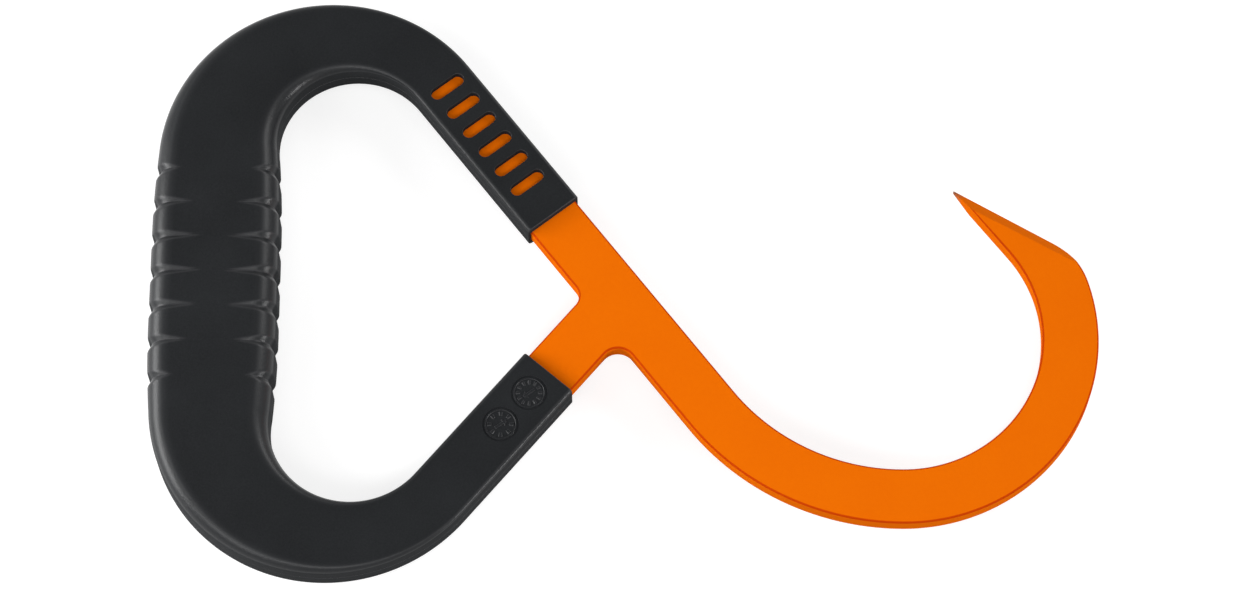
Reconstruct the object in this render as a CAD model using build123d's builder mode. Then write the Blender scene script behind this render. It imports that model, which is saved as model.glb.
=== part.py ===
from build123d import *
import os
from math import atan2, cos, degrees, pi, radians, sin, sqrt, tan

# Log hook: a flat steel blank, hook at the right and closed loop at the left, with two moulded half
# shells screwed together around the loop as a D-handle. Millimetres. It lies on its back: plan view
# in X and Y, front up. The origin is on the ground under the middle of the whole hook.

# Steel blank, measured from the junction where shank and arms meet
plate_thickness = 6.0
bar_width = 16.8
upper_arm_angle = 52.2
lower_arm_angle = 49.6
crotch_radius = 4.5
throat_radius = 5.4
plate_edge_break = 0.4

# Hook
shank_length = 44.6
shank_bend_radius = 71.3
bowl_radius = 50.9
bowl_end_angle = 38.0
point_length = 27.1
point_angle = 21.5
shoulder_radius = 22.5
tip_radius = 0.5
bevel_width = 3.7
bevel_length = 155.0
bevel_depth = 2.6

# Handle form, centre lines and sections
grip_reach = 121.4
grip_width = 38.3
grip_thickness = 22.0
grip_corner_radius = 7.0
grip_flat_length = 30.0
upper_bend_radius = 37.8
lower_bend_radius = 38.8
mouth_distance = 32.5
sleeve_side_wall = 0.85
sleeve_face_wall = 2.5
sleeve_corner_radius = 1.4
pocket_clearance = 0.15
bend_section_count = 16
corner_chord_count = 3

# Finger grooves on both sides of the grip
groove_count = 7
groove_pitch = 11.05
groove_depth = 0.9
groove_angle = 120.0
middle_groove_run = 8.0
end_groove_run = 1.0
groove_lift = 0.15
groove_reach = 3.0
outer_groove_shift = 1.2
inner_groove_shift = 0.9

# Inside of the shells
shell_wall = 2.6
bay_count = 5
bay_pitch = 20.0
rib_thickness = 1.8

# Cut-outs in the upper sleeve and round recesses in the lower one
window_count = 6
window_pitch = 8.0
window_width = 4.0
window_length = 11.5
window_row_distance = 65.5
stamp_radius = 5.4
stamp_depth = 0.3
stamp_distances = (41.3, 54.2)

# Countersunk screws, driven from the rear into pegs of the front shell
screw_diameter = 2.9
screw_head_diameter = 5.6
screw_head_angle = 90.0
screw_tip_cover = 1.5
screw_clearance = 0.1
peg_wall = 1.5
peg_clearance = 0.15
boss_diameter = 10.0
pilot_spare_depth = 0.4
grip_screw_distance = 30.0
bend_screw_distance = 90.0
mouth_screw_inset = 6.5

# Directions along and across the two arms; the shank runs on in line with the upper arm
half_bar = bar_width / 2
upper_turn = radians(upper_arm_angle)
lower_turn = radians(lower_arm_angle)
upper_way = Vector(-cos(upper_turn), sin(upper_turn))
upper_side = Vector(sin(upper_turn), cos(upper_turn))
lower_way = Vector(-cos(lower_turn), -sin(lower_turn))
lower_side = Vector(sin(lower_turn), -cos(lower_turn))
half_fork = (upper_turn + lower_turn) / 2

# Bends of the loop: each touches the grip axis and its arm
upper_bend_y = (sin(upper_turn) * (grip_reach - upper_bend_radius) - upper_bend_radius) / cos(upper_turn)
lower_bend_y = (lower_bend_radius - sin(lower_turn) * (grip_reach - lower_bend_radius)) / cos(lower_turn)
upper_bend_centre = Vector(upper_bend_radius - grip_reach, upper_bend_y)
lower_bend_centre = Vector(lower_bend_radius - grip_reach, lower_bend_y)
mid_grip_y = (upper_bend_y + lower_bend_y) / 2
half_grip = (upper_bend_y - lower_bend_y) / 2
upper_bend_angle = 90 + upper_arm_angle
lower_bend_angle = 90 + lower_arm_angle
upper_bend_end = half_grip + upper_bend_radius * radians(upper_bend_angle)
lower_bend_end = half_grip + lower_bend_radius * radians(lower_bend_angle)

# Hook centres and the corners of its point
shank_end = upper_way * -shank_length
shank_bend_centre = shank_end + upper_side * shank_bend_radius
bowl_centre = shank_bend_centre - Vector(0, shank_bend_radius - bowl_radius)
bowl_outer = bowl_radius + half_bar
bowl_inner = bowl_radius - half_bar
point_turn = radians(bowl_end_angle)
point_root = bowl_centre + Vector(cos(point_turn), sin(point_turn)) * bowl_inner
point_tip = point_root + Vector(-sin(point_turn), cos(point_turn)) * point_length
back_turn = radians(bowl_end_angle + point_angle)
back_way = Vector(sin(back_turn), -cos(back_turn))
back_side = Vector(-cos(back_turn), -sin(back_turn))
tip_lead = (point_tip - bowl_centre).dot(back_way)
tip_reach = (point_tip - bowl_centre).length
back_length = sqrt(tip_lead**2 + bowl_outer**2 - tip_reach**2) - tip_lead
back_end = point_tip + back_way * back_length
back_end_angle = degrees(atan2(back_end.Y - bowl_centre.Y, back_end.X - bowl_centre.X))

# Corners between the arms and between shank and lower arm
crotch_corner = upper_way * (half_bar / tan(half_fork)) - upper_side * half_bar
throat_corner = upper_way * (-half_bar * tan(half_fork)) - upper_side * half_bar

# Sleeve section and the levels of plate and screw seats
sleeve_width = bar_width + 2 * (pocket_clearance + sleeve_side_wall)
sleeve_thickness = plate_thickness + 2 * sleeve_face_wall
mid_height = grip_thickness / 2
groove_half_width = (groove_depth + groove_lift) * tan(radians(groove_angle / 2))


def section_size(distance, bend_end):
    """Width, thickness and corner radius of the handle at a distance from mid-grip.

    All three ease from grip size to sleeve size along one half wave of a cosine.
    """
    start = grip_flat_length / 2
    share = min(max((distance - start) / (bend_end - start), 0), 1)
    ease = (1 + cos(pi * share)) / 2
    width = sleeve_width + (grip_width - sleeve_width) * ease
    thickness = sleeve_thickness + (grip_thickness - sleeve_thickness) * ease
    radius = sleeve_corner_radius + (grip_corner_radius - sleeve_corner_radius) * ease
    return width, thickness, radius


# Overall plan limits, which put the origin under the middle of the part
upper_crown_width, _, _ = section_size(half_grip + upper_bend_radius * pi / 2, upper_bend_end)
lower_crown_width, _, _ = section_size(half_grip + lower_bend_radius * pi / 2, lower_bend_end)
top_limit = upper_bend_y + upper_bend_radius + upper_crown_width / 2
bottom_limit = lower_bend_y - lower_bend_radius - lower_crown_width / 2
left_limit = -grip_reach - grip_width / 2
right_limit = bowl_centre.X + bowl_outer
junction = Vector(-(left_limit + right_limit) / 2, -(top_limit + bottom_limit) / 2, mid_height)
plate_plane = Plane(origin=junction)

# Centre lines of the loop from mid-grip to the two sleeve mouths, in plan from the junction
with BuildLine() as upper_route:
    upper_run = Line((-grip_reach, mid_grip_y), (-grip_reach, upper_bend_y))
    upper_bend = JernArc(upper_run @ 1, upper_run % 1, upper_bend_radius, -upper_bend_angle)
    Line(upper_bend @ 1, upper_way * mouth_distance)

with BuildLine() as lower_route:
    lower_run = Line((-grip_reach, mid_grip_y), (-grip_reach, lower_bend_y))
    lower_bend = JernArc(lower_run @ 1, lower_run % 1, lower_bend_radius, lower_bend_angle)
    Line(lower_bend @ 1, lower_way * mouth_distance)

limbs = ((upper_route.wire(), upper_bend_end), (lower_route.wire(), lower_bend_end))


def route_place(route, distance):
    """Point of a centre line at a distance from mid-grip."""
    return plate_plane.from_local_coords(route.position_at(distance, PositionMode.LENGTH))


def section_plane(route, distance):
    """Plane square to a centre line, its x across the handle and its y up."""
    along = route.tangent_at(distance, PositionMode.LENGTH)
    return Plane(route_place(route, distance), x_dir=Vector(0, 0, 1).cross(along), z_dir=along)


def section_points(width, thickness, radius):
    """Corners of a handle section, with each rounded corner drawn as a few chords of its arc."""
    points = []
    for quarter, (right, up) in enumerate(((1, 1), (-1, 1), (-1, -1), (1, -1))):
        centre = Vector(right * (width / 2 - radius), up * (thickness / 2 - radius))
        for chord in range(corner_chord_count + 1):
            turn = (quarter + chord / corner_chord_count) * pi / 2
            points.append(centre + Vector(cos(turn), sin(turn)) * radius)
    return points


def groove_points(width, thickness, radius, run, depth):
    """C-shaped outline outside one side of the grip, its inner edge at a depth below the surface."""
    centre = Vector(width / 2 - radius, thickness / 2 - radius)
    end_x = centre.X - run
    upper_half = [Vector(end_x, thickness / 2 + groove_lift)]
    for chord in range(corner_chord_count + 1):
        turn = (1 - chord / corner_chord_count) * pi / 2
        upper_half.append(centre + Vector(cos(turn), sin(turn)) * (radius - depth))
    lower_half = [Vector(point.X, -point.Y) for point in reversed(upper_half)]
    far_x = width / 2 + groove_reach
    far_y = thickness / 2 + groove_reach
    outside = [Vector(end_x, -far_y), Vector(far_x, -far_y), Vector(far_x, far_y), Vector(end_x, far_y)]
    return upper_half + lower_half + outside


# Steel blank: hook, shank and closed loop in one outline, with the hand opening cut out
with BuildSketch(plate_plane) as plate_outline:
    with BuildLine():
        upper_arm_end = upper_bend_centre + upper_side * (upper_bend_radius + half_bar)
        Line(upper_arm_end, shank_end + upper_side * half_bar)
        CenterArc(shank_bend_centre, shank_bend_radius - half_bar, 270 - upper_arm_angle, upper_arm_angle)
        CenterArc(bowl_centre, bowl_inner, 270, 90 + bowl_end_angle)
        Line(point_root, point_tip)
        Line(point_tip, back_end)
        CenterArc(bowl_centre, bowl_outer, 270, 90 + back_end_angle)
        CenterArc(shank_bend_centre, shank_bend_radius + half_bar, 270 - upper_arm_angle, upper_arm_angle)
        Line(shank_end - upper_side * half_bar, throat_corner)
        Line(throat_corner, lower_bend_centre + lower_side * (lower_bend_radius + half_bar))
        CenterArc(lower_bend_centre, lower_bend_radius + half_bar, 180, lower_bend_angle)
        Line((-grip_reach - half_bar, lower_bend_y), (-grip_reach - half_bar, upper_bend_y))
        CenterArc(upper_bend_centre, upper_bend_radius + half_bar, 180, -upper_bend_angle)
    make_face()
    fillet(plate_outline.vertices().sort_by_distance(throat_corner)[0], throat_radius)
    fillet(plate_outline.vertices().sort_by_distance(back_end)[0], shoulder_radius)
    fillet(plate_outline.vertices().sort_by_distance(point_tip)[0], tip_radius)
    with BuildLine():
        Line(crotch_corner, upper_bend_centre + upper_side * (upper_bend_radius - half_bar))
        CenterArc(upper_bend_centre, upper_bend_radius - half_bar, 180, -upper_bend_angle)
        Line((half_bar - grip_reach, upper_bend_y), (half_bar - grip_reach, lower_bend_y))
        CenterArc(lower_bend_centre, lower_bend_radius - half_bar, 180, lower_bend_angle)
        Line(lower_bend_centre + lower_side * (lower_bend_radius - half_bar), crotch_corner)
    make_face(mode=Mode.SUBTRACT)
    fillet(plate_outline.vertices().sort_by_distance(crotch_corner)[0], crotch_radius)

# Screw places: two in the grip, two in the bends and one inside each sleeve mouth
screw_places = []
for route, _ in limbs:
    for distance in (grip_screw_distance, bend_screw_distance, route.length - mouth_screw_inset):
        screw_places.append(route_place(route, distance))
peg_diameter = screw_diameter + 2 * (screw_clearance + peg_wall)
seat_drop = Vector(0, 0, -sleeve_thickness / 2)
screw_length = sleeve_thickness - screw_tip_cover

with BuildPart() as hook_plate:
    extrude(plate_outline.sketch, amount=plate_thickness / 2, both=True)
    rims = hook_plate.faces().filter_by(Axis.Z).edges()
    chamfer(rims, plate_edge_break)
    for front in (1, -1):
        bevel_line = back_way * bevel_length - back_side * bevel_width
        bevel_slope = back_side * -bevel_width - Vector(0, 0, front * bevel_depth)
        bevel_foot = point_tip + back_side * bevel_width + Vector(0, 0, front * plate_thickness / 2)
        bevel_normal = bevel_line.cross(bevel_slope) * front
        bevel_plane = Plane(plate_plane.from_local_coords(bevel_foot), z_dir=bevel_normal)
        split(bisect_by=bevel_plane, keep=Keep.BOTTOM)
    with Locations(*screw_places):
        Hole(peg_diameter / 2 + peg_clearance)

# Outer form of the handle: straight grip, two tapering bends and two straight sleeves
with BuildPart() as handle_form:
    with BuildSketch(section_plane(upper_route.wire(), 0)):
        Polygon(*section_points(grip_width, grip_thickness, grip_corner_radius), align=None)
    extrude(amount=grip_flat_length / 2, both=True)
    for route, bend_end in limbs:
        start = grip_flat_length / 2
        for step in range(bend_section_count):
            distance = start + (bend_end - start) * step / (bend_section_count - 1)
            with BuildSketch(section_plane(route, distance)):
                Polygon(*section_points(*section_size(distance, bend_end)), align=None)
        loft()
        with BuildSketch(section_plane(route, bend_end)):
            Polygon(*section_points(sleeve_width, sleeve_thickness, sleeve_corner_radius), align=None)
        extrude(amount=route.length - bend_end)

# Finger grooves: V-shaped, round the side of the grip, longest in the middle of the row
with BuildPart() as grip_grooves:
    for side, shift in ((-1, outer_groove_shift), (1, inner_groove_shift)):
        for number in range(groove_count):
            step = number - (groove_count - 1) / 2
            rise = shift + step * groove_pitch
            nearness = 1 - (2 * step / (groove_count - 1)) ** 2
            run = end_groove_run + (middle_groove_run - end_groove_run) * nearness
            size = section_size(abs(rise), upper_bend_end)
            for slope in (-1, 0, 1):
                edge_rise = mid_grip_y + rise + slope * groove_half_width
                edge_place = plate_plane.from_local_coords((-grip_reach, edge_rise, 0))
                depth = groove_depth if slope == 0 else -groove_lift
                with BuildSketch(Plane(edge_place, x_dir=(side, 0, 0), z_dir=(0, -side, 0))):
                    Polygon(*groove_points(*size, run, depth), align=None)
            loft(ruled=True)


def holds_screw(start, end):
    """Whether a screw, or the plastic that stays round it, reaches into this stretch of the handle."""
    reach = boss_diameter / 2
    return any(start - reach < place < end + reach for place in (grip_screw_distance, bend_screw_distance))


# Pockets that lighten the shells: a rib stands between neighbours, and stretches with a screw stay solid
with BuildPart() as pockets:
    for route, bend_end in limbs:
        for bay in range(bay_count):
            start = bay * bay_pitch + rib_thickness / 2
            end = (bay + 1) * bay_pitch - rib_thickness / 2
            if not holds_screw(start, end):
                width, thickness, radius = section_size(end, bend_end)
                corner_spare = max(radius - shell_wall, 0) * (1 - cos(pi / 4))
                inset = shell_wall + corner_spare
                with BuildSketch(plate_plane):
                    trace(route.trim(start / route.length, end / route.length), width - 2 * inset)
                extrude(amount=thickness / 2 - inset, both=True)

# Room for the steel loop between the shells
with BuildSketch(plate_plane) as plate_pocket:
    add(plate_outline.sketch_local)
    offset(amount=pocket_clearance)

with BuildPart() as front_handle_shell:
    add(handle_form.part)
    add(grip_grooves.part, mode=Mode.SUBTRACT)
    split(bisect_by=plate_plane, keep=Keep.TOP)
    add(pockets.part, mode=Mode.SUBTRACT)
    extrude(plate_pocket.sketch, amount=plate_thickness / 2, mode=Mode.SUBTRACT)
    with Locations(*screw_places):
        Cylinder(peg_diameter / 2, plate_thickness)
    pilot_depth = screw_length + pilot_spare_depth
    with Locations(*[place + seat_drop for place in screw_places]):
        pilot_align = (Align.CENTER, Align.CENTER, Align.MIN)
        Cylinder(screw_diameter / 2 + screw_clearance, pilot_depth, align=pilot_align, mode=Mode.SUBTRACT)
    upper_sleeve_front = plate_plane.from_local_coords(
        upper_way * window_row_distance + Vector(0, 0, sleeve_thickness / 2)
    )
    with BuildSketch(Plane(upper_sleeve_front, x_dir=upper_way, z_dir=(0, 0, 1))):
        with GridLocations(window_pitch, 0, window_count, 1):
            SlotOverall(window_length, window_width, rotation=90)
    extrude(amount=-sleeve_face_wall, mode=Mode.SUBTRACT)
    with BuildSketch(plate_plane.offset(sleeve_thickness / 2)):
        with Locations(*[lower_way * distance for distance in stamp_distances]):
            Circle(stamp_radius)
    extrude(amount=-stamp_depth, mode=Mode.SUBTRACT)

with BuildPart() as rear_handle_shell:
    add(handle_form.part)
    add(grip_grooves.part, mode=Mode.SUBTRACT)
    split(bisect_by=plate_plane, keep=Keep.BOTTOM)
    add(pockets.part, mode=Mode.SUBTRACT)
    extrude(plate_pocket.sketch, amount=-plate_thickness / 2, mode=Mode.SUBTRACT)
    with Locations(*[Plane(place + seat_drop, z_dir=(0, 0, -1)) for place in screw_places]):
        CounterSinkHole(
            screw_diameter / 2 + screw_clearance,
            screw_head_diameter / 2 + screw_clearance,
            depth=mid_height,
            counter_sink_angle=screw_head_angle,
        )

with BuildPart() as handle_screws:
    for place in screw_places:
        seat = place + seat_drop
        head_depth = (screw_head_diameter - screw_diameter) / 2 / tan(radians(screw_head_angle / 2))
        with BuildSketch(Plane(seat, x_dir=(1, 0, 0), z_dir=(0, -1, 0))):
            Polygon(
                (0, 0),
                (screw_head_diameter / 2, 0),
                (screw_diameter / 2, head_depth),
                (screw_diameter / 2, screw_length),
                (0, screw_length),
                align=None,
            )
        revolve(axis=Axis(seat, (0, 0, 1)))

pieces = {
    "hook_plate": hook_plate,
    "front_handle_shell": front_handle_shell,
    "rear_handle_shell": rear_handle_shell,
    "handle_screws": handle_screws,
}
os.makedirs("parts", exist_ok=True)
for name, piece in pieces.items():
    piece.part.label = name
    export_step(piece.part, f"parts/{name}.step")
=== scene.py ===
import bmesh
import bpy
import numpy as np
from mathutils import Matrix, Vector
from mathutils.geometry import tessellate_polygon


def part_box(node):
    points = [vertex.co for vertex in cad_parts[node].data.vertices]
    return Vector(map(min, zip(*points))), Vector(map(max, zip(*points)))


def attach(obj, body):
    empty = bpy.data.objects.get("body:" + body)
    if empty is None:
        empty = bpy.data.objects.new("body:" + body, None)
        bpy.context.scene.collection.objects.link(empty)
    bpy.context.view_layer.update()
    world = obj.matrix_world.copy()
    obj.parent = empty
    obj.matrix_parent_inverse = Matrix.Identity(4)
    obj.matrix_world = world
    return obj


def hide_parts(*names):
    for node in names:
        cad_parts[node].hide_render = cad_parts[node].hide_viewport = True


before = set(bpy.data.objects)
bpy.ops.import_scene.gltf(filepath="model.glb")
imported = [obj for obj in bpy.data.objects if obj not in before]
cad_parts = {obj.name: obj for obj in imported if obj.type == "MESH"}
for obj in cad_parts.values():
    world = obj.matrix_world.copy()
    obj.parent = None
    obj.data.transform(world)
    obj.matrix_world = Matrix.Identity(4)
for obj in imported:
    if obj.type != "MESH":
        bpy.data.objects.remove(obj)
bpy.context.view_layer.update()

# Hook plate: one blank cut from 6 mm steel sheet, with a hook at one end and a closed loop for the handle
# at the other. Its edges are rounded over, its point is ground from both faces, and all of it is
# powder-coated orange. The coat is worn off at the very point.
mm = 0.001
bar_width = 16.8 * mm
upper_arm_angle = 52.2
lower_arm_angle = 49.6
crotch_radius = 4.5 * mm
throat_radius = 5.4 * mm
grip_reach = 121.4 * mm
upper_bend_radius = 37.8 * mm
lower_bend_radius = 38.8 * mm
mouth_distance = 32.5 * mm
shank_length = 44.6 * mm
shank_bend_radius = 71.3 * mm
bowl_radius = 50.9 * mm
bowl_end_angle = 38.0
point_length = 27.1 * mm
point_angle = 21.5
shoulder_radius = 22.5 * mm
tip_radius = 0.2 * mm
bevel_width = 3.7 * mm
bevel_length = 155.0 * mm
bevel_depth = 2.6 * mm
peg_hole_radius = 3.2 * mm
grip_screw_distance = 30.0 * mm
bend_screw_distance = 90.0 * mm
mouth_screw_inset = 6.5 * mm
edge_rounding = 0.6 * mm
tip_rounding = 0.12 * mm
edge_rows = 6
arc_step = 2.0
round_sides = 48
same_point = 0.001 * mm


def ways(angles):
    """Unit vectors at angles in degrees: (cos a, sin a)."""
    turns = np.radians(angles)
    return np.stack((np.cos(turns), np.sin(turns)), axis=-1)


def angle_of(way):
    """Angle of a plan vector in degrees, from -90 up to 270."""
    return (np.degrees(np.arctan2(way[1], way[0])) + 90) % 360 - 90


def arc(centre, radius, start, end, rounding=edge_rounding):
    """Points centre + radius * (cos a, sin a) for a from start to end, with normals and edge rounding.

    The metal lies to the left of the run, so the normal is the ray itself where the arc turns left, and
    its opposite where the arc turns right.
    """
    rays = ways(np.linspace(start, end, 2 + int(abs(end - start) / arc_step)))
    return centre + radius * rays, rays * np.sign(end - start), np.full((len(rays), 1), rounding)


def outline(*arcs):
    """One closed line through arcs in turn, with straight runs between them: points, normals, roundings.

    A point that lies less than same_point from the one before it, where two arcs meet, is left out.
    """
    points, normals, roundings = (np.concatenate(values) for values in zip(*arcs))
    apart = np.linalg.norm(points - np.roll(points, 1, axis=0), axis=1) > same_point
    return points[apart], normals[apart], roundings[apart]


def beside(corner, first_normal, second_normal, offset):
    """Point at one offset from two edges: (point - corner) dotted with each normal gives the offset."""
    return corner + np.linalg.solve(np.stack((first_normal, second_normal)), np.full(2, offset))


def bend_height(turn, radius):
    """Height of a bend's centre, which lies one radius from the grip's line and one from the arm's.

    The arm rises from the junction at the angle turn: (sin turn * (reach - radius) - radius) / cos turn.
    """
    return (np.sin(turn) * (grip_reach - radius) - radius) / np.cos(turn)


plate_low, plate_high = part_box("hook_plate")
plate_middle = (plate_low.z + plate_high.z) / 2
half_plate = (plate_high.z - plate_low.z) / 2
half_bar = bar_width / 2

# Loop: two arms, two bends and the straight grip, as centre lines from the junction of shank and arms. A way
# runs along an arm from the junction, and a side across it.
upper_way = ways(180 - upper_arm_angle)
upper_side = ways(90 - upper_arm_angle)
lower_way = ways(180 + lower_arm_angle)
lower_side = ways(lower_arm_angle - 90)
upper_turn, lower_turn = np.radians((upper_arm_angle, lower_arm_angle))
half_fork = (upper_turn + lower_turn) / 2
upper_bend_y = bend_height(upper_turn, upper_bend_radius)
lower_bend_y = -bend_height(lower_turn, lower_bend_radius)
upper_bend_centre = np.array((upper_bend_radius - grip_reach, upper_bend_y))
lower_bend_centre = np.array((lower_bend_radius - grip_reach, lower_bend_y))
mid_grip_y = (upper_bend_y + lower_bend_y) / 2
half_grip = (upper_bend_y - lower_bend_y) / 2
upper_bend_angle = 90 + upper_arm_angle
lower_bend_angle = 90 + lower_arm_angle
upper_bend_end = half_grip + upper_bend_radius * np.radians(upper_bend_angle)
lower_bend_end = half_grip + lower_bend_radius * np.radians(lower_bend_angle)
upper_length = upper_bend_end + upper_bend_centre @ upper_way - mouth_distance
lower_length = lower_bend_end + lower_bend_centre @ lower_way - mouth_distance
junction_x = plate_low.x + grip_reach + half_bar
junction_y = plate_low.y + lower_bend_radius + half_bar - lower_bend_y
junction = np.array((junction_x, junction_y))

# Hook: shank, bend, bowl and point. The shoulder's circle touches the bowl's outer line and the point's back
shank_bend_centre = shank_bend_radius * upper_side - shank_length * upper_way
bowl_centre = shank_bend_centre - np.array((0, shank_bend_radius - bowl_radius))
bowl_outer = bowl_radius + half_bar
bowl_inner = bowl_radius - half_bar
point_side = ways(180 + bowl_end_angle)
point_tip = bowl_centre - bowl_inner * point_side + point_length * ways(90 + bowl_end_angle)
back_way = ways(bowl_end_angle + point_angle - 90)
back_side = ways(bowl_end_angle + point_angle)
tip_centre = beside(point_tip, back_side, point_side, -tip_radius)
shoulder_line = point_tip - shoulder_radius * back_side - bowl_centre
shoulder_lead = shoulder_line @ back_way
shoulder_run = np.sqrt(shoulder_lead**2 + (bowl_outer - shoulder_radius) ** 2 - shoulder_line @ shoulder_line)
shoulder_centre = shoulder_line + (shoulder_run - shoulder_lead) * back_way + bowl_centre
shoulder_angle = 360 + angle_of(shoulder_centre - bowl_centre)
back_angle = 360 + angle_of(back_side)

# Fork: rounded corners where the arms leave the shank, the throat outside the loop and the crotch inside it
throat_corner = -half_bar * np.tan(half_fork) * upper_way - half_bar * upper_side
throat_centre = beside(throat_corner, lower_side, -upper_side, throat_radius)
crotch_corner = half_bar / np.tan(half_fork) * upper_way - half_bar * upper_side
crotch_centre = beside(crotch_corner, -upper_side, -lower_side, crotch_radius)

plate_edge = outline(
    arc(upper_bend_centre, upper_bend_radius + half_bar, 180 - upper_bend_angle, 180),
    arc(lower_bend_centre, lower_bend_radius + half_bar, 180, 180 + lower_bend_angle),
    arc(throat_centre, throat_radius, 90 + lower_arm_angle, 90 - upper_arm_angle),
    arc(shank_bend_centre, shank_bend_radius + half_bar, 270 - upper_arm_angle, 270),
    arc(bowl_centre, bowl_outer, 270, shoulder_angle),
    arc(shoulder_centre, shoulder_radius, shoulder_angle, back_angle),
    arc(tip_centre, tip_radius, back_angle, 540 + bowl_end_angle, tip_rounding),
    arc(bowl_centre, bowl_inner, 360 + bowl_end_angle, 270),
    arc(shank_bend_centre, shank_bend_radius - half_bar, 270, 270 - upper_arm_angle),
)
hand_edge = outline(
    arc(upper_bend_centre, upper_bend_radius - half_bar, 180, 180 - upper_bend_angle),
    arc(crotch_centre, crotch_radius, 90 - upper_arm_angle, lower_arm_angle - 90),
    arc(lower_bend_centre, lower_bend_radius - half_bar, 180 + lower_bend_angle, 180),
)


def loop_line(distance):
    """Centre line of the loop at distances from mid-grip, above it positive: points and directions across.

    With travel = |distance| the line turns by (travel - half_grip) / radius, held between 0 and the bend's
    angle. Before the turn it runs straight up or down the grip and after it straight along the arm. The
    direction across is (-cos turn, +-sin turn), which points out of the loop.
    """
    side = np.where(distance < 0, -1.0, 1.0)
    travel = np.abs(distance)
    radius = np.where(distance < 0, lower_bend_radius, upper_bend_radius)
    whole_turn = np.radians(np.where(distance < 0, lower_bend_angle, upper_bend_angle))
    turn = np.clip((travel - half_grip) / radius, 0, whole_turn)
    before = np.minimum(travel, half_grip)
    after = np.maximum(travel - half_grip - radius * whole_turn, 0)
    out_x = radius * (1 - np.cos(turn)) + after * np.sin(turn) - grip_reach
    out_y = before + radius * np.sin(turn) + after * np.cos(turn)
    points = np.stack((out_x, mid_grip_y + side * out_y), axis=-1)
    across = np.stack((-np.cos(turn), side * np.sin(turn)), axis=-1)
    return points, across


screw_distances = np.array((
    mouth_screw_inset - lower_length,
    -bend_screw_distance,
    -grip_screw_distance,
    grip_screw_distance,
    bend_screw_distance,
    upper_length - mouth_screw_inset,
))
screw_places, _ = loop_line(screw_distances)


def rounded_edge(line):
    """Edge profile carried along a closed line: row k stands back from the line by rounding * (1 - sin f).

    Its height is half_plate - rounding * (1 - cos f), for f from 0 to 90 degrees, and the same rows
    follow mirrored below the middle of the plate.
    """
    points, normals, rounding = line
    turns = np.radians(np.linspace(0, 90, edge_rows))[:, None, None]
    back = rounding * (1 - np.sin(turns))
    height = half_plate - rounding * (1 - np.cos(turns))
    plan = junction + points - np.concatenate((back, back[::-1])) * normals
    return np.concatenate((plan, plate_middle + np.concatenate((height, -height[::-1]))), axis=2)


def grid_faces(rows, columns, first):
    """Quads between neighbouring rows of a grid whose columns close on themselves."""
    row, column = np.mgrid[0 : rows - 1, 0:columns]
    after = (column + 1) % columns
    low, high = row * columns, (row + 1) * columns
    quads = np.stack((low + column, high + column, high + after, low + after), axis=-1)
    return (first + quads.reshape(-1, 4)).tolist()


def new_piece(name, points, faces):
    """Object at the origin with its place in its mesh, of the given points and faces."""
    mesh = bpy.data.meshes.new(name)
    mesh.from_pydata(points.tolist(), [], faces)
    piece = bpy.data.objects.new(name, mesh)
    bpy.context.scene.collection.objects.link(piece)
    return piece


# Plate mesh: a rounded edge along the outline, the hand opening and each hole, then both flat faces
plate_lines = [plate_edge, hand_edge]
plate_lines += [outline(arc(place, peg_hole_radius, 360 - 360 / round_sides, 0)) for place in screw_places]
plate_grids = [rounded_edge(line) for line in plate_lines]
plate_points = np.concatenate([grid.reshape(-1, 3) for grid in plate_grids])
plate_faces = []
plate_numbers = []
first = 0
for grid in plate_grids:
    rows, columns = grid.shape[:2]
    plate_faces += grid_faces(rows, columns, first)
    plate_numbers.append(first + np.arange(rows * columns).reshape(rows, columns))
    first += rows * columns
for row in (0, -1):
    rims = [[Vector(point) for point in grid[row]] for grid in plate_grids]
    rim_numbers = np.concatenate([numbers[row] for numbers in plate_numbers])
    plate_faces += rim_numbers[np.array(tessellate_polygon(rims))].tolist()
hook_plate = new_piece("hook_plate_visual", plate_points, plate_faces)

# Ground point: a sloping plane through each face cuts a long facet along the point's back
plate_shape = bmesh.new()
plate_shape.from_mesh(hook_plate.data)
for face in (1, -1):
    foot = Vector((*(junction + point_tip - bevel_width * back_side), plate_middle + face * half_plate))
    along = Vector((*(bevel_length * back_way + bevel_width * back_side), 0))
    down = Vector((*(bevel_width * back_side), -face * bevel_depth))
    facing = along.cross(down)
    outward = facing * face * np.sign(facing.z)
    everything = plate_shape.verts[:] + plate_shape.edges[:] + plate_shape.faces[:]
    ground = bmesh.ops.bisect_plane(
        plate_shape, geom=everything, plane_co=foot, plane_no=outward, clear_outer=True
    )
    rim = [item for item in ground["geom_cut"] if isinstance(item, bmesh.types.BMEdge)]
    bmesh.ops.edgeloop_fill(plate_shape, edges=rim)
plate_shape.to_mesh(hook_plate.data)
plate_shape.free()

# Limits for shading and marking the faces: an angle, two steepnesses, a count of corners, and the mark's gain
plate_crease = 20
level_rise = 0.99999
upright_rise = 0.00001
facet_corners = 5
edge_gain = 90.0


def face_outwards(mesh):
    """Turns all faces of a closed mesh outwards."""
    shape = bmesh.new()
    shape.from_mesh(mesh)
    bmesh.ops.recalc_face_normals(shape, faces=shape.faces)
    shape.to_mesh(mesh)
    shape.free()


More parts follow.
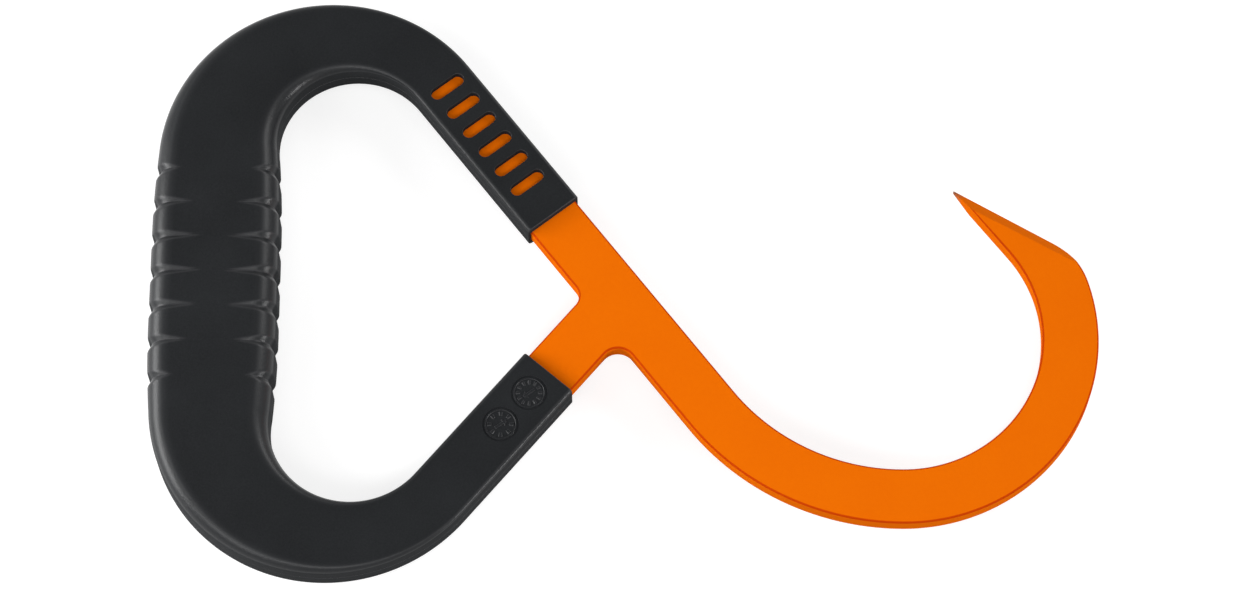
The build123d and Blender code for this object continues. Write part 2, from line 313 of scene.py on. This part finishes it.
def finish_faces(piece, crease):
    """Turns the faces outwards, shades all but the flat ones smooth, and marks the rounded edges.

    A crease stays where two faces meet at more than the given angle. With rise = |normal z|, flat faces are
    those above level_rise and those of facet_corners or more. The edge mark at a point is
    1 - |mean of the normals of its faces|, which grows with the bend, times edge_gain and at most 1. Flat
    faces and upright ones, below upright_rise, have no mark.
    """
    mesh = piece.data
    face_outwards(mesh)
    normals = np.empty((len(mesh.polygons), 3), np.float32)
    sizes = np.empty(len(mesh.polygons), np.int32)
    mesh.polygons.foreach_get("normal", normals.ravel())
    mesh.polygons.foreach_get("loop_total", sizes)
    rise = np.abs(normals[:, 2])
    smooth = (rise < level_rise) & (sizes < facet_corners)
    mesh.polygons.foreach_set("use_smooth", smooth)
    mesh.set_sharp_from_angle(angle=np.radians(crease))
    corners = np.empty(len(mesh.loops), np.int32)
    mesh.loops.foreach_get("vertex_index", corners)
    total = np.zeros((len(mesh.vertices), 3))
    faces = np.zeros(len(mesh.vertices))
    np.add.at(total, corners, np.repeat(normals, sizes, axis=0))
    np.add.at(faces, corners, 1)
    bend = 1 - np.linalg.norm(total, axis=1) / np.maximum(faces, 1)
    marked = np.repeat(smooth & (rise > upright_rise), sizes)
    strength = np.where(marked, np.clip(edge_gain * bend[corners], 0, 1), 0)
    mark = mesh.attributes.new("edge", "FLOAT", "CORNER")
    mark.data.foreach_set("value", strength.astype(np.float32))
    piece.modifiers.new("flat_faces", "WEIGHTED_NORMAL").keep_sharp = True


finish_faces(hook_plate, plate_crease)


def paint(red, green, blue):
    """Colour from its values on a 0 to 255 scale: ((c / 255 + 0.055) / 1.055) to the power 2.4."""
    return (*(((np.array((red, green, blue)) / 255 + 0.055) / 1.055) ** 2.4).tolist(), 1.0)


def node(tree, kind, inputs=None, **settings):
    """New node with its settings; each input takes a plain value or is fed from an output socket."""
    made = tree.nodes.new(kind)
    for name, value in settings.items():
        setattr(made, name, value)
    for name, value in (inputs or {}).items():
        if isinstance(value, bpy.types.NodeSocket):
            tree.links.new(value, made.inputs[name])
        else:
            made.inputs[name].default_value = value
    return made


def reckoned(tree, operation, *values):
    """Output of a Math node: the operation on values or sockets, in their order."""
    return node(tree, "ShaderNodeMath", dict(enumerate(values)), operation=operation).outputs[0]


def blended(tree, share, first, second):
    """Output of a Mix node, whose sockets 6 and 7 are colours: first * (1 - share) + second * share."""
    return node(tree, "ShaderNodeMix", {0: share, 6: first, 7: second}, data_type="RGBA").outputs[2]


def ramp(tree, value, start, end, low, high, kind="LINEAR"):
    """Output of a Map Range node: low up to start, high from end on, straight or smooth between them."""
    limits = {"Value": value, "From Min": start, "From Max": end, "To Min": low, "To Max": high}
    return node(tree, "ShaderNodeMapRange", limits, interpolation_type=kind).outputs[0]


# Shared surface grain: fine grain over broad patches, on the piece's own coordinates
grain_group = bpy.data.node_groups.new("surface_grain", "ShaderNodeTree")
for name in ("Colour", "Fleck Colour"):
    grain_group.interface.new_socket(name, in_out="INPUT", socket_type="NodeSocketColor")
for name in ("Fleck Share", "Grain Scale", "Patch Scale", "Roughness", "Roughness Spread"):
    grain_group.interface.new_socket(name, in_out="INPUT", socket_type="NodeSocketFloat")
grain_group.interface.new_socket("Colour", in_out="OUTPUT", socket_type="NodeSocketColor")
for name in ("Roughness", "Height"):
    grain_group.interface.new_socket(name, in_out="OUTPUT", socket_type="NodeSocketFloat")
given = node(grain_group, "NodeGroupInput").outputs
where = node(grain_group, "ShaderNodeTexCoord").outputs["Object"]
fine_noise = {"Vector": where, "Scale": given["Grain Scale"], "Detail": 3.0, "Roughness": 0.6}
fine = node(grain_group, "ShaderNodeTexNoise", fine_noise).outputs["Fac"]
broad_noise = {"Vector": where, "Scale": given["Patch Scale"], "Detail": 2.0, "Roughness": 0.5}
broad = node(grain_group, "ShaderNodeTexNoise", broad_noise).outputs["Fac"]
both = reckoned(grain_group, "ADD", fine, broad)
swing = reckoned(grain_group, "SUBTRACT", both, 1.0)
share = reckoned(grain_group, "MULTIPLY", both, given["Fleck Share"])
flecked = blended(grain_group, share, given["Colour"], given["Fleck Colour"])
uneven = reckoned(grain_group, "MULTIPLY_ADD", swing, given["Roughness Spread"], given["Roughness"])
node(grain_group, "NodeGroupOutput", {"Colour": flecked, "Roughness": uneven, "Height": fine})

# Steepness, as |normal z|, at which walls and level faces go over to the rounded rims
wall_rises = (0.05, 0.4)
face_rises = (0.88, 1.0)


def finish_material(name, grain, relief, flat_roughness, edge_colour, edge_share, shader):
    """Material of one finish: the shared grain feeds a Principled shader's colour, roughness and bump.

    The grain's roughness is that of the rounded rims. With rise = |normal z|, upright walls go over to the
    flat roughness as rise falls through wall_rises, and level faces as it grows through face_rises, in
    smooth steps. The piece's edge mark blends a share of the edge colour in: painted shade along the
    steel's rounded edges, wear with a painted sheen on the plastic's rims, and wear on the screws.
    """
    material = bpy.data.materials.new(name)
    material.use_nodes = True
    tree = material.node_tree
    tree.nodes.clear()
    surface = node(tree, "ShaderNodeGroup", node_tree=grain_group)
    for socket, value in grain.items():
        surface.inputs[socket].default_value = value
    grain_height = {"Height": surface.outputs["Height"], "Strength": 1.0, "Distance": relief}
    bump = node(tree, "ShaderNodeBump", grain_height)
    mark = node(tree, "ShaderNodeAttribute", attribute_name="edge").outputs["Fac"]
    # Share of the edge colour at the marked edges: painted shade on the steel, wear and painted sheen on the
    # plastic, wear on the screws
    wear_and_painted_edge_light = reckoned(tree, "MULTIPLY", mark, edge_share)
    colour = blended(tree, wear_and_painted_edge_light, surface.outputs["Colour"], edge_colour)
    facing = node(tree, "ShaderNodeSeparateXYZ", {0: node(tree, "ShaderNodeTexCoord").outputs["Normal"]})
    rise = reckoned(tree, "ABSOLUTE", facing.outputs["Z"])
    upright = ramp(tree, rise, *wall_rises, 1.0, 0.0, "SMOOTHSTEP")
    level = ramp(tree, rise, *face_rises, 0.0, 1.0, "SMOOTHSTEP")
    flat = reckoned(tree, "MAXIMUM", upright, level)
    mixed = node(tree, "ShaderNodeMix", {0: flat, 2: surface.outputs["Roughness"], 3: flat_roughness})
    inputs = {"Base Color": colour, "Roughness": mixed.outputs[0], "Normal": bump.outputs["Normal"]}
    principled = node(tree, "ShaderNodeBsdfPrincipled", inputs | shader)
    node(tree, "ShaderNodeOutputMaterial", {"Surface": principled.outputs["BSDF"]})
    return material


orange_grain = {
    "Colour": paint(237, 113, 0),
    "Fleck Colour": paint(228, 100, 0),
    "Fleck Share": 0.4,
    "Grain Scale": 900.0,
    "Patch Scale": 60.0,
    "Roughness": 0.42,
    "Roughness Spread": 0.15,
}
orange_coat = finish_material(
    "orange_powder_coat",
    orange_grain,
    relief=0.02 * mm,
    flat_roughness=0.9,
    # Painted shade: the edge colour darkens the rounded edges of the steel, where the fillets turn away from
    # the light
    edge_colour=paint(196, 62, 0),
    edge_share=1.0,
    shader={"Specular IOR Level": 0.012},
)

# Worn point: bare brownish steel shows through the coat, less and less with the distance from the tip
bare_steel = paint(120, 96, 80)
bare_share = 0.9
bare_reach = 0.5 * mm
coat_reach = 5.0 * mm
tree = orange_coat.node_tree
principled = next(item for item in tree.nodes if item.type == "BSDF_PRINCIPLED")
coat_colour = principled.inputs["Base Color"].links[0].from_socket
spot = node(tree, "ShaderNodeTexCoord").outputs["Object"]
tip_place = (*(junction + point_tip), plate_middle)
reach = node(tree, "ShaderNodeVectorMath", {0: spot, 1: tip_place}, operation="DISTANCE").outputs["Value"]
bare = ramp(tree, reach, bare_reach, coat_reach, bare_share, 0.0)
tree.links.new(blended(tree, bare, coat_colour, bare_steel), principled.inputs["Base Color"])
hook_plate.data.materials.append(orange_coat)
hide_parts("hook_plate")
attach(hook_plate, "root")

# Front shell: the front half of the handle, injection-moulded in black nylon with a fine spark-eroded grain.
# Its grip has finger grooves, its upper sleeve six slots down to the steel, and its lower sleeve two round
# mould stamps. Pegs on its inside go through the steel and take the screws.
grip_width = 38.3 * mm
grip_thickness = 22.0 * mm
grip_corner_radius = 7.0 * mm
grip_flat_length = 30.0 * mm
grip_parting_rounding = 0.06 * mm
sleeve_width = 18.8 * mm
sleeve_thickness = 11.0 * mm
sleeve_corner_radius = 1.4 * mm
sleeve_parting_rounding = 0.2 * mm
mouth_rounding = 0.35 * mm
pocket_clearance = 0.15 * mm
face_clearance = 0.04 * mm
peg_radius = 3.05 * mm
pilot_radius = 1.55 * mm
pilot_top = 4.4 * mm
shell_crease = 30
# How far the shapes that are joined on or cut out reach past the faces that they meet
overlap = 0.5 * mm
cutter_reach = 1.0 * mm


def section_size(distance):
    """Half width, half thickness, corner radius and parting edge radius at distances from mid-grip.

    Each eases from its grip value to its sleeve value with (1 + cos(pi * share)) / 2, where share runs from 0
    at the end of the flat grip to 1 at the end of the bend.
    """
    bend_end = np.where(distance < 0, lower_bend_end, upper_bend_end)
    start = grip_flat_length / 2
    share = np.clip((np.abs(distance) - start) / (bend_end - start), 0, 1)
    ease = (1 + np.cos(np.pi * share)) / 2
    half_width = (sleeve_width + (grip_width - sleeve_width) * ease) / 2
    half_thickness = (sleeve_thickness + (grip_thickness - sleeve_thickness) * ease) / 2
    radius = sleeve_corner_radius + (grip_corner_radius - sleeve_corner_radius) * ease
    parting = sleeve_parting_rounding + (grip_parting_rounding - sleeve_parting_rounding) * ease
    return half_width, half_thickness, radius, parting


groove_count = 7
groove_pitch = 11.05 * mm
groove_depth = 1.25 * mm
groove_angle = 120.0
groove_softness = 0.1 * mm
middle_groove_length = 15.5 * mm
end_groove_length = 7.5 * mm
outer_groove_shift = 1.2 * mm
inner_groove_shift = 0.9 * mm


def groove_field(distance, inward, shift):
    """Depth of the finger grooves at distances along the grip and at lengths inward of its side.

    Groove k has the depth line d = groove_depth * (1 - inward / length), and at a distance x from its
    middle line it is d - x / tan(groove_angle / 2) deep. With s as the softness, x becomes
    sqrt(x * x + s * s) - s, which rounds the floors, and a depth d becomes (d + sqrt(d * d + s * s)) / 2,
    which rounds the edges and fades out below zero. The deepest groove counts.
    """
    steps = np.arange(groove_count) - (groove_count - 1) / 2
    nearness = 1 - (2 * steps / (groove_count - 1)) ** 2
    lengths = end_groove_length + (middle_groove_length - end_groove_length) * nearness
    depths = groove_depth * (1 - inward[..., None] / lengths)
    aside = distance[..., None] - (shift + steps * groove_pitch)
    aside = np.sqrt(aside**2 + groove_softness**2) - groove_softness
    deep = depths - aside / np.tan(np.radians(groove_angle / 2))
    soft = (deep + np.sqrt(deep**2 + groove_softness**2)) / 2
    return soft.max(axis=-1)


# Fineness of the shells: points round the section, and steps along the grip and along the arms
lip_points = 4
wall_points = 9
corner_points = 12
face_points = 22
mouth_points = 6
fine_reach = 46.0 * mm
fine_step = 0.3 * mm
coarse_step = 0.75 * mm


def half_section(distance, side, shift):
    """Outer half of a shell's section on one side of its middle: offsets across and up.

    From the parting edge, slightly rounded, straight up the side, round the corner and along the
    face to the middle. The grooves and the rounded sleeve mouths are taken off along the normal.
    """
    half_width, half_thickness, radius, parting = (value[:, None] for value in section_size(distance))
    length = np.where(distance < 0, lower_length, upper_length)[:, None]
    lip = np.radians(np.linspace(0, 90, lip_points))[None]
    rise = np.linspace(0, 1, wall_points)[None, 1:-1]
    turn = np.radians(np.linspace(0, 90, corner_points))[None]
    run = np.linspace(1, 0, face_points)[None, 1:]
    wall = half_thickness - radius - parting
    top = half_width - radius
    across = np.concatenate((
        half_width - parting * (1 - np.sin(lip)),
        half_width + 0 * rise,
        top + radius * np.cos(turn),
        top * run,
    ), axis=1)
    up = np.concatenate((
        parting * (1 - np.cos(lip)),
        parting + wall * rise,
        half_thickness - radius + radius * np.sin(turn),
        half_thickness + 0 * run,
    ), axis=1)
    normal_across = np.concatenate((1 + 0 * lip, 1 + 0 * rise, np.cos(turn), 0 * run), axis=1)
    normal_up = np.concatenate((0 * lip, 0 * rise, np.sin(turn), 1 + 0 * run), axis=1)
    depth = groove_field(distance[:, None] + 0 * across, half_width - across, shift)
    past = np.clip(np.abs(distance)[:, None] - (length - mouth_rounding), 0, mouth_rounding)
    depth = depth + mouth_rounding - np.sqrt(mouth_rounding**2 - past**2)
    return side * (across - depth * normal_across), up - depth * normal_up


def shell_grid(face):
    """Skin of a half shell, front with face +1 and rear with -1: a closed section carried along the loop.

    The section goes up the outside, over the face, down the inside and back through the steel's channel.
    """
    ends = mouth_rounding * np.sin(np.radians(np.linspace(0, 90, mouth_points)))
    distance = np.concatenate((
        -lower_length + mouth_rounding - ends[::-1],
        np.arange(-lower_length + mouth_rounding + coarse_step, -fine_reach, coarse_step),
        np.arange(-fine_reach, fine_reach, fine_step),
        np.arange(fine_reach, upper_length - mouth_rounding - coarse_step / 2, coarse_step),
        upper_length - mouth_rounding + ends,
    ))
    outer_across, outer_up = half_section(distance, 1, outer_groove_shift)
    inner_across, inner_up = half_section(distance, -1, inner_groove_shift)
    channel = half_bar + pocket_clearance
    depth = half_plate + face_clearance
    ones = np.ones((len(distance), 1))
    channel_across = ones * (-channel, -channel, channel, channel)
    channel_up = ones * (0, depth, depth, 0)
    across = np.concatenate((outer_across, inner_across[:, -2::-1], channel_across), axis=1)
    up = np.concatenate((outer_up, inner_up[:, -2::-1], channel_up), axis=1)
    places, out = loop_line(distance)
    plan = junction + places[:, None] + across[..., None] * out[:, None]
    return np.concatenate((plan, plate_middle + face * up[..., None]), axis=2)


def closed_grids(name, grids):
    """Piece of closed skins: each grid's rows close on themselves, and its first and last rows are filled.

    Its faces are turned outwards, because carve needs them so.
    """
    points = np.concatenate([grid.reshape(-1, 3) for grid in grids])
    faces = []
    first = 0
    for grid in grids:
        rows, columns = grid.shape[:2]
        faces += grid_faces(rows, columns, first)
        faces.append(list(range(first, first + columns)))
        faces.append(list(range(first + rows * columns - 1, first + (rows - 1) * columns - 1, -1)))
        first += rows * columns
    piece = new_piece(name, points, faces)
    face_outwards(piece.data)
    return piece


def at_each_screw(profile):
    """Profile of (radius, height) turned round each screw: place + (radius cos a, radius sin a, height)."""
    radius, height = np.array(profile).T
    rays = ways(np.linspace(0, 360, round_sides, endpoint=False))
    ring = radius[:, None, None] * rays
    level = np.broadcast_to(plate_middle + height[:, None, None], ring.shape[:2] + (1,))
    return [np.concatenate((junction + place + ring, level), axis=2) for place in screw_places]


def carve(piece, tool, operation):
    """Joins a tool shape to a piece, or takes it away from it, and removes the tool."""
    step = piece.modifiers.new("carve", "BOOLEAN")
    step.operation = operation
    step.solver = "EXACT"
    step.object = tool
    carved = bpy.data.meshes.new_from_object(piece.evaluated_get(bpy.context.evaluated_depsgraph_get()))
    carved.name = piece.name
    piece.modifiers.clear()
    piece.data = carved
    bpy.data.objects.remove(tool)


window_count = 6
window_pitch = 8.0 * mm
window_width = 4.0 * mm
window_length = 11.5 * mm
window_row_distance = 65.5 * mm
window_flare = 0.12 * mm
flare_widths = np.array((0.0, 0.25, 1.3))
flare_depths = np.array((1.0, 0.4, -0.3))


def window_grid(distance):
    """Slot through the sleeve's face: two half circles joined by straight runs, flared at the outer edge.

    The flare's rows are flare_widths wider than the slot and flare_depths below the face, both times
    window_flare. The last row stands above the face, and the first one reaches past the steel's face.
    """
    centre = distance * upper_way
    reach = (window_length - window_width) / 2 * upper_side
    points, normals, _ = outline(
        arc(centre + reach, window_width / 2, -upper_arm_angle, 180 - upper_arm_angle),
        arc(centre - reach, window_width / 2, 180 - upper_arm_angle, 360 - upper_arm_angle),
    )
    wide = np.append(0, flare_widths * window_flare)[:, None, None]
    flare_heights = sleeve_thickness / 2 - flare_depths * window_flare
    height = np.append(half_plate - overlap, flare_heights)[:, None, None]
    plan = junction + points + wide * normals
    level = np.broadcast_to(plate_middle + height, plan.shape[:2] + (1,))
    return np.concatenate((plan, level), axis=2)


def step_up(value, edge, blur):
    """Smooth step: 0 below the edge, 1 above it, with 3 t^2 - 2 t^3 across the blur."""
    share = np.clip((value - edge) / blur + 0.5, 0, 1)
    return share**2 * (3 - 2 * share)


stamp_radius = 5.4 * mm
stamp_depth = 0.3 * mm
stamp_draft = 1.01
stamp_proud = 0.2 * mm
stamp_relief = 0.24 * mm
stamp_blur = 0.16 * mm
ring_edges = (4.35 * mm, 4.75 * mm)
spoke_ends = (2.7 * mm, 3.9 * mm)
spoke_edge = 0.55
spoke_blur = 0.3
needle_half_width = 0.35 * mm
needle_half_length = 1.9 * mm
arrow_tip = 2.0 * mm
arrow_foot = 0.9 * mm
stamp_rows = 56
stamp_columns = 144
stamp_hub = 0.05
near_stamp = {"distance": 41.3 * mm, "spokes": 12, "pointer": 215.0}
far_stamp = {"distance": 54.2 * mm, "spokes": 8, "pointer": 35.0}


def stamp_grid(distance, spokes, pointer):
    """Round mould stamp: a floor with a raised ring, spokes and a pointer, sunk into the sleeve's face.

    The floor's height over the polar grid is the largest of a ring, a wave cos(spokes * a) cut off to bars, a
    needle |y| < half width and an arrow head |y| + x < tip along the pointer's angle, with soft edges. The
    wall round the floor opens by stamp_draft and stands proud of the face, to cut clean through it.
    """
    radius = np.linspace(stamp_hub, 1, stamp_rows)[:, None] * stamp_radius
    angle = np.linspace(0, 2 * np.pi, stamp_columns, endpoint=False)[None]
    ring = step_up(radius, ring_edges[0], stamp_blur) - step_up(radius, ring_edges[1], stamp_blur)
    band = step_up(radius, spoke_ends[0], stamp_blur) - step_up(radius, spoke_ends[1], stamp_blur)
    bars = step_up(np.cos(spokes * angle), spoke_edge, spoke_blur)
    aside = np.abs(radius * np.sin(angle - np.radians(pointer)))
    ahead = radius * np.cos(angle - np.radians(pointer))
    needle = 1 - step_up(aside, needle_half_width, stamp_blur)
    needle = needle * (1 - step_up(np.abs(ahead), needle_half_length, stamp_blur))
    head = 1 - step_up(aside + ahead, arrow_tip, stamp_blur)
    head = head * step_up(ahead, arrow_foot, stamp_blur)
    relief = np.maximum.reduce((ring + 0 * angle, band * bars, needle, head))
    face = sleeve_thickness / 2
    height = face - stamp_depth + stamp_relief * relief
    plan = radius[..., None] * np.stack((np.cos(angle), np.sin(angle)), axis=-1)
    floor = np.concatenate((plan, height[..., None]), axis=2)
    wall = floor[-1:] * (stamp_draft, stamp_draft, 0) + (0, 0, face + stamp_proud)
    grid = np.concatenate((floor, wall))
    return grid + (*(junction + distance * lower_way), plate_middle)


peg_profile = ((peg_radius, -half_plate), (peg_radius, half_plate + overlap))
pilot_profile = ((pilot_radius, -half_plate - cutter_reach), (pilot_radius, pilot_top))
window_steps = np.arange(window_count) - (window_count - 1) / 2
front_cuts = [window_grid(distance) for distance in window_row_distance + window_steps * window_pitch]
front_cuts += [stamp_grid(**stamp) for stamp in (near_stamp, far_stamp)]
front_cuts += at_each_screw(pilot_profile)
front_shell = closed_grids("front_handle_shell_visual", [shell_grid(1)])
carve(front_shell, closed_grids("pegs", at_each_screw(peg_profile)), "UNION")
carve(front_shell, closed_grids("front_cuts", front_cuts), "DIFFERENCE")
finish_faces(front_shell, shell_crease)

black_grain = {
    "Colour": paint(9, 10, 12),
    "Fleck Colour": paint(38, 40, 42),
    "Fleck Share": 0.5,
    "Grain Scale": 1800.0,
    "Patch Scale": 45.0,
    "Roughness": 0.3,
    "Roughness Spread": 0.04,
}
black_moulding = finish_material(
    "black_moulded_plastic",
    black_grain,
    relief=0.06 * mm,
    flat_roughness=1.0,
    # The lighter edge colour on the rims is partly wear and partly a painted sheen
    edge_colour=paint(52, 52, 54),
    edge_share=0.6,
    shader={"Specular IOR Level": 0.2},
)
front_shell.data.materials.append(black_moulding)
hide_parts("front_handle_shell")
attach(front_shell, "root")

# Rear shell: the other half of the handle, from the same black nylon. It closes on the front shell along the
# parting line and has a countersunk well for each of the six screws.
well_radius = 2.9 * mm
bore_radius = 1.55 * mm
seat_height = -sleeve_thickness / 2
sink_depth = well_radius - bore_radius
well_profile = (
    (well_radius, -grip_thickness),
    (well_radius, seat_height),
    (bore_radius, seat_height + sink_depth),
    (bore_radius, cutter_reach),
)
rear_shell = closed_grids("rear_handle_shell_visual", [shell_grid(-1)])
carve(rear_shell, closed_grids("wells", at_each_screw(well_profile)), "DIFFERENCE")
finish_faces(rear_shell, shell_crease)
rear_shell.data.materials.append(black_moulding)
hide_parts("rear_handle_shell")
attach(rear_shell, "root")

# Handle screws: six countersunk thread-forming screws of black zinc-plated steel with a six-lobe drive. They
# go in from the rear, through the holes in the steel loop, and cut their thread in the front shell's pegs.
head_radius = 2.8 * mm
shank_radius = 1.45 * mm
head_height = head_radius - shank_radius
core_radius = 1.1 * mm
thread_start = head_height + 0.15 * mm
thread_pitch = 1.1 * mm
tooth_slope = 2.6
screw_length = 9.5 * mm
tip_length = 1.2 * mm
tip_share = 0.15
drive_radius = 1.35 * mm
drive_lobe = 0.22 * mm
drive_lobes = 6
drive_depth = 1.3 * mm
# The drive as shares of its lobed outline and depths, and the head as radii and depths
drive_profile = ((0.15, drive_depth), (0.9, drive_depth * 0.85), (1.0, 0.15 * mm), (1.06, 0.0))
head_profile = (
    (head_radius - 0.2 * mm, 0.0),
    (head_radius, 0.12 * mm),
    (shank_radius, head_height + 0.1 * mm),
)
thread_rows = 60
screw_columns = 72
screw_crease = 30


def screw_grid(place):
    """Screw skin: rows from the drive's floor up its wall, over the head, down the cone and along the thread.

    The drive's rows are its profile's shares of drive_radius + drive_lobe * cos 6a, at the profile's depths,
    and the head's rows are round. The thread's radius is the core's plus a triangle wave of
    height / pitch - a / 360 degrees, and the whole tapers over the tip.
    """
    angle = np.linspace(0, 2 * np.pi, screw_columns, endpoint=False)[None]
    lobes = drive_radius + drive_lobe * np.cos(drive_lobes * angle)
    rows = [(share * lobes, depth) for share, depth in drive_profile]
    rows += [(0 * angle + radius, depth) for radius, depth in head_profile]
    height = np.linspace(thread_start, screw_length, thread_rows)[:, None]
    wave = height / thread_pitch - angle / (2 * np.pi)
    tooth = np.maximum(1 - tooth_slope * np.abs(wave - np.round(wave)), 0)
    fade = np.clip((screw_length - height) / tip_length, tip_share, 1)
    thread = (core_radius + (shank_radius - core_radius) * tooth) * fade
    radius = np.concatenate([row for row, _ in rows] + [thread])
    level = np.concatenate([0 * angle + depth for _, depth in rows] + [height + 0 * angle])
    plan = radius[..., None] * np.stack((np.cos(angle), np.sin(angle)), axis=-1)
    grid = np.concatenate((plan, level[..., None]), axis=2)
    return grid + (*(junction + place), plate_middle + seat_height)


screws = closed_grids("handle_screws_visual", [screw_grid(place) for place in screw_places])
finish_faces(screws, screw_crease)

zinc_grain = {
    "Colour": paint(62, 62, 66),
    "Fleck Colour": paint(92, 90, 88),
    "Fleck Share": 0.5,
    "Grain Scale": 4000.0,
    "Patch Scale": 500.0,
    "Roughness": 0.36,
    "Roughness Spread": 0.2,
}
black_zinc = finish_material(
    "black_zinc_screw",
    zinc_grain,
    relief=0.01 * mm,
    flat_roughness=0.5,
    edge_colour=paint(120, 118, 112),
    edge_share=0.6,
    shader={"Metallic": 1.0},
)
screws.data.materials.append(black_zinc)
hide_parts("handle_screws")
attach(screws, "root")

# Studio: a white floor that keeps the hook's soft shadow, and the camera over the junction of shank and arms.
# Soft lights stand at the front left, above and in front for the faces, low at the left and right for the
# rounded rims, and at the rear right for the steel in the slots.
floor_reach = 4.0
floor_lines = 9
floor_gap = 0.02 * mm
floor_grey = 0.45
floor_glow = 0.72
world_light = 0.08
white = (1.0, 1.0, 1.0, 1.0)

span = np.linspace(-floor_reach, floor_reach, floor_lines)
floor_x, floor_y = np.meshgrid(span, span, indexing="ij")
floor_points = np.stack((floor_x, floor_y, 0 * floor_x - floor_gap), axis=-1).reshape(-1, 3)
steps = np.arange(floor_lines - 1)
low = (steps[:, None] * floor_lines + steps).reshape(-1)
floor_faces = np.stack((low, low + floor_lines, low + floor_lines + 1, low + 1), axis=-1).tolist()
floor = new_piece("studio_floor", floor_points, floor_faces)


def looked_at(tree):
    """1 where the background is seen, straight, mirrored or through glass, and 0 where it only lights."""
    rays = node(tree, "ShaderNodeLightPath").outputs
    mirrored = reckoned(tree, "MAXIMUM", rays["Is Glossy Ray"], rays["Is Transmission Ray"])
    return reckoned(tree, "MAXIMUM", rays["Is Camera Ray"], mirrored)


white_floor = bpy.data.materials.new("white_floor")
white_floor.use_nodes = True
tree = white_floor.node_tree
tree.nodes.clear()
glow_strength = reckoned(tree, "MULTIPLY", looked_at(tree), floor_glow)
paper = node(tree, "ShaderNodeBsdfDiffuse", {"Color": (floor_grey, floor_grey, floor_grey, 1.0)})
glow = node(tree, "ShaderNodeEmission", {"Color": white, "Strength": glow_strength})
mixed = node(tree, "ShaderNodeAddShader", {0: paper.outputs[0], 1: glow.outputs[0]})
node(tree, "ShaderNodeOutputMaterial", {"Surface": mixed.outputs[0]})
floor.data.materials.append(white_floor)

world = bpy.data.worlds.new("studio")
bpy.context.scene.world = world
world.use_nodes = True
tree = world.node_tree
tree.nodes.clear()
sky_strength = ramp(tree, looked_at(tree), 0.0, 1.0, world_light, 1.0)
sky = node(tree, "ShaderNodeBackground", {"Color": white, "Strength": sky_strength})
node(tree, "ShaderNodeOutputWorld", {"Surface": sky.outputs[0]})


def soft_light(name, place, target, size, power):
    """Rectangular soft light at a place, turned to a target."""
    lamp = bpy.data.lights.new(name, "AREA")
    lamp.shape = "RECTANGLE"
    lamp.size, lamp.size_y = size
    lamp.energy = power
    light = bpy.data.objects.new(name, lamp)
    light.location = place
    light.visible_camera = False
    light.rotation_euler = (Vector(target) - Vector(place)).to_track_quat("-Z", "Y").to_euler()
    bpy.context.scene.collection.objects.link(light)


soft_light("key_light", place=(-0.62, -0.55, 0.55), target=(-0.1, 0, 0), size=(0.5, 0.35), power=2.8)
soft_light("top_light", place=(0.3, -0.35, 1.2), target=(0, 0, 0), size=(0.6, 0.6), power=2.8)
soft_light("front_light", place=(-0.13, -0.65, 0.8), target=(-0.13, 0, 0.02), size=(0.5, 0.22), power=2.6)
soft_light("left_light", place=(-0.6, 0.0, 0.15), target=(-0.12, -0.01, 0.012), size=(0.45, 0.24), power=3.7)
soft_light("right_light", place=(1.0, -0.5, 0.25), target=(-0.1, 0, 0.01), size=(0.35, 0.2), power=5.5)
soft_light("rear_light", place=(0.62, 0.6, 0.6), target=(0.05, 0, 0), size=(0.7, 0.5), power=4.6)

camera_tilt = np.radians(21.0)
camera_distance = 1.25
camera_lens = 121.07
camera_sensor = 36.0
camera_data = bpy.data.cameras.new("photo_camera")
camera_data.lens = camera_lens
camera_data.sensor_width = camera_sensor
camera = bpy.data.objects.new("photo_camera", camera_data)
camera_way = Vector((0, -np.sin(camera_tilt), np.cos(camera_tilt)))
camera.location = Vector((*junction, plate_middle)) + camera_distance * camera_way
camera.rotation_euler = (camera_tilt, 0, 0)
bpy.context.scene.collection.objects.link(camera)
bpy.context.scene.camera = camera
bpy.context.scene.view_settings.view_transform = "Standard"
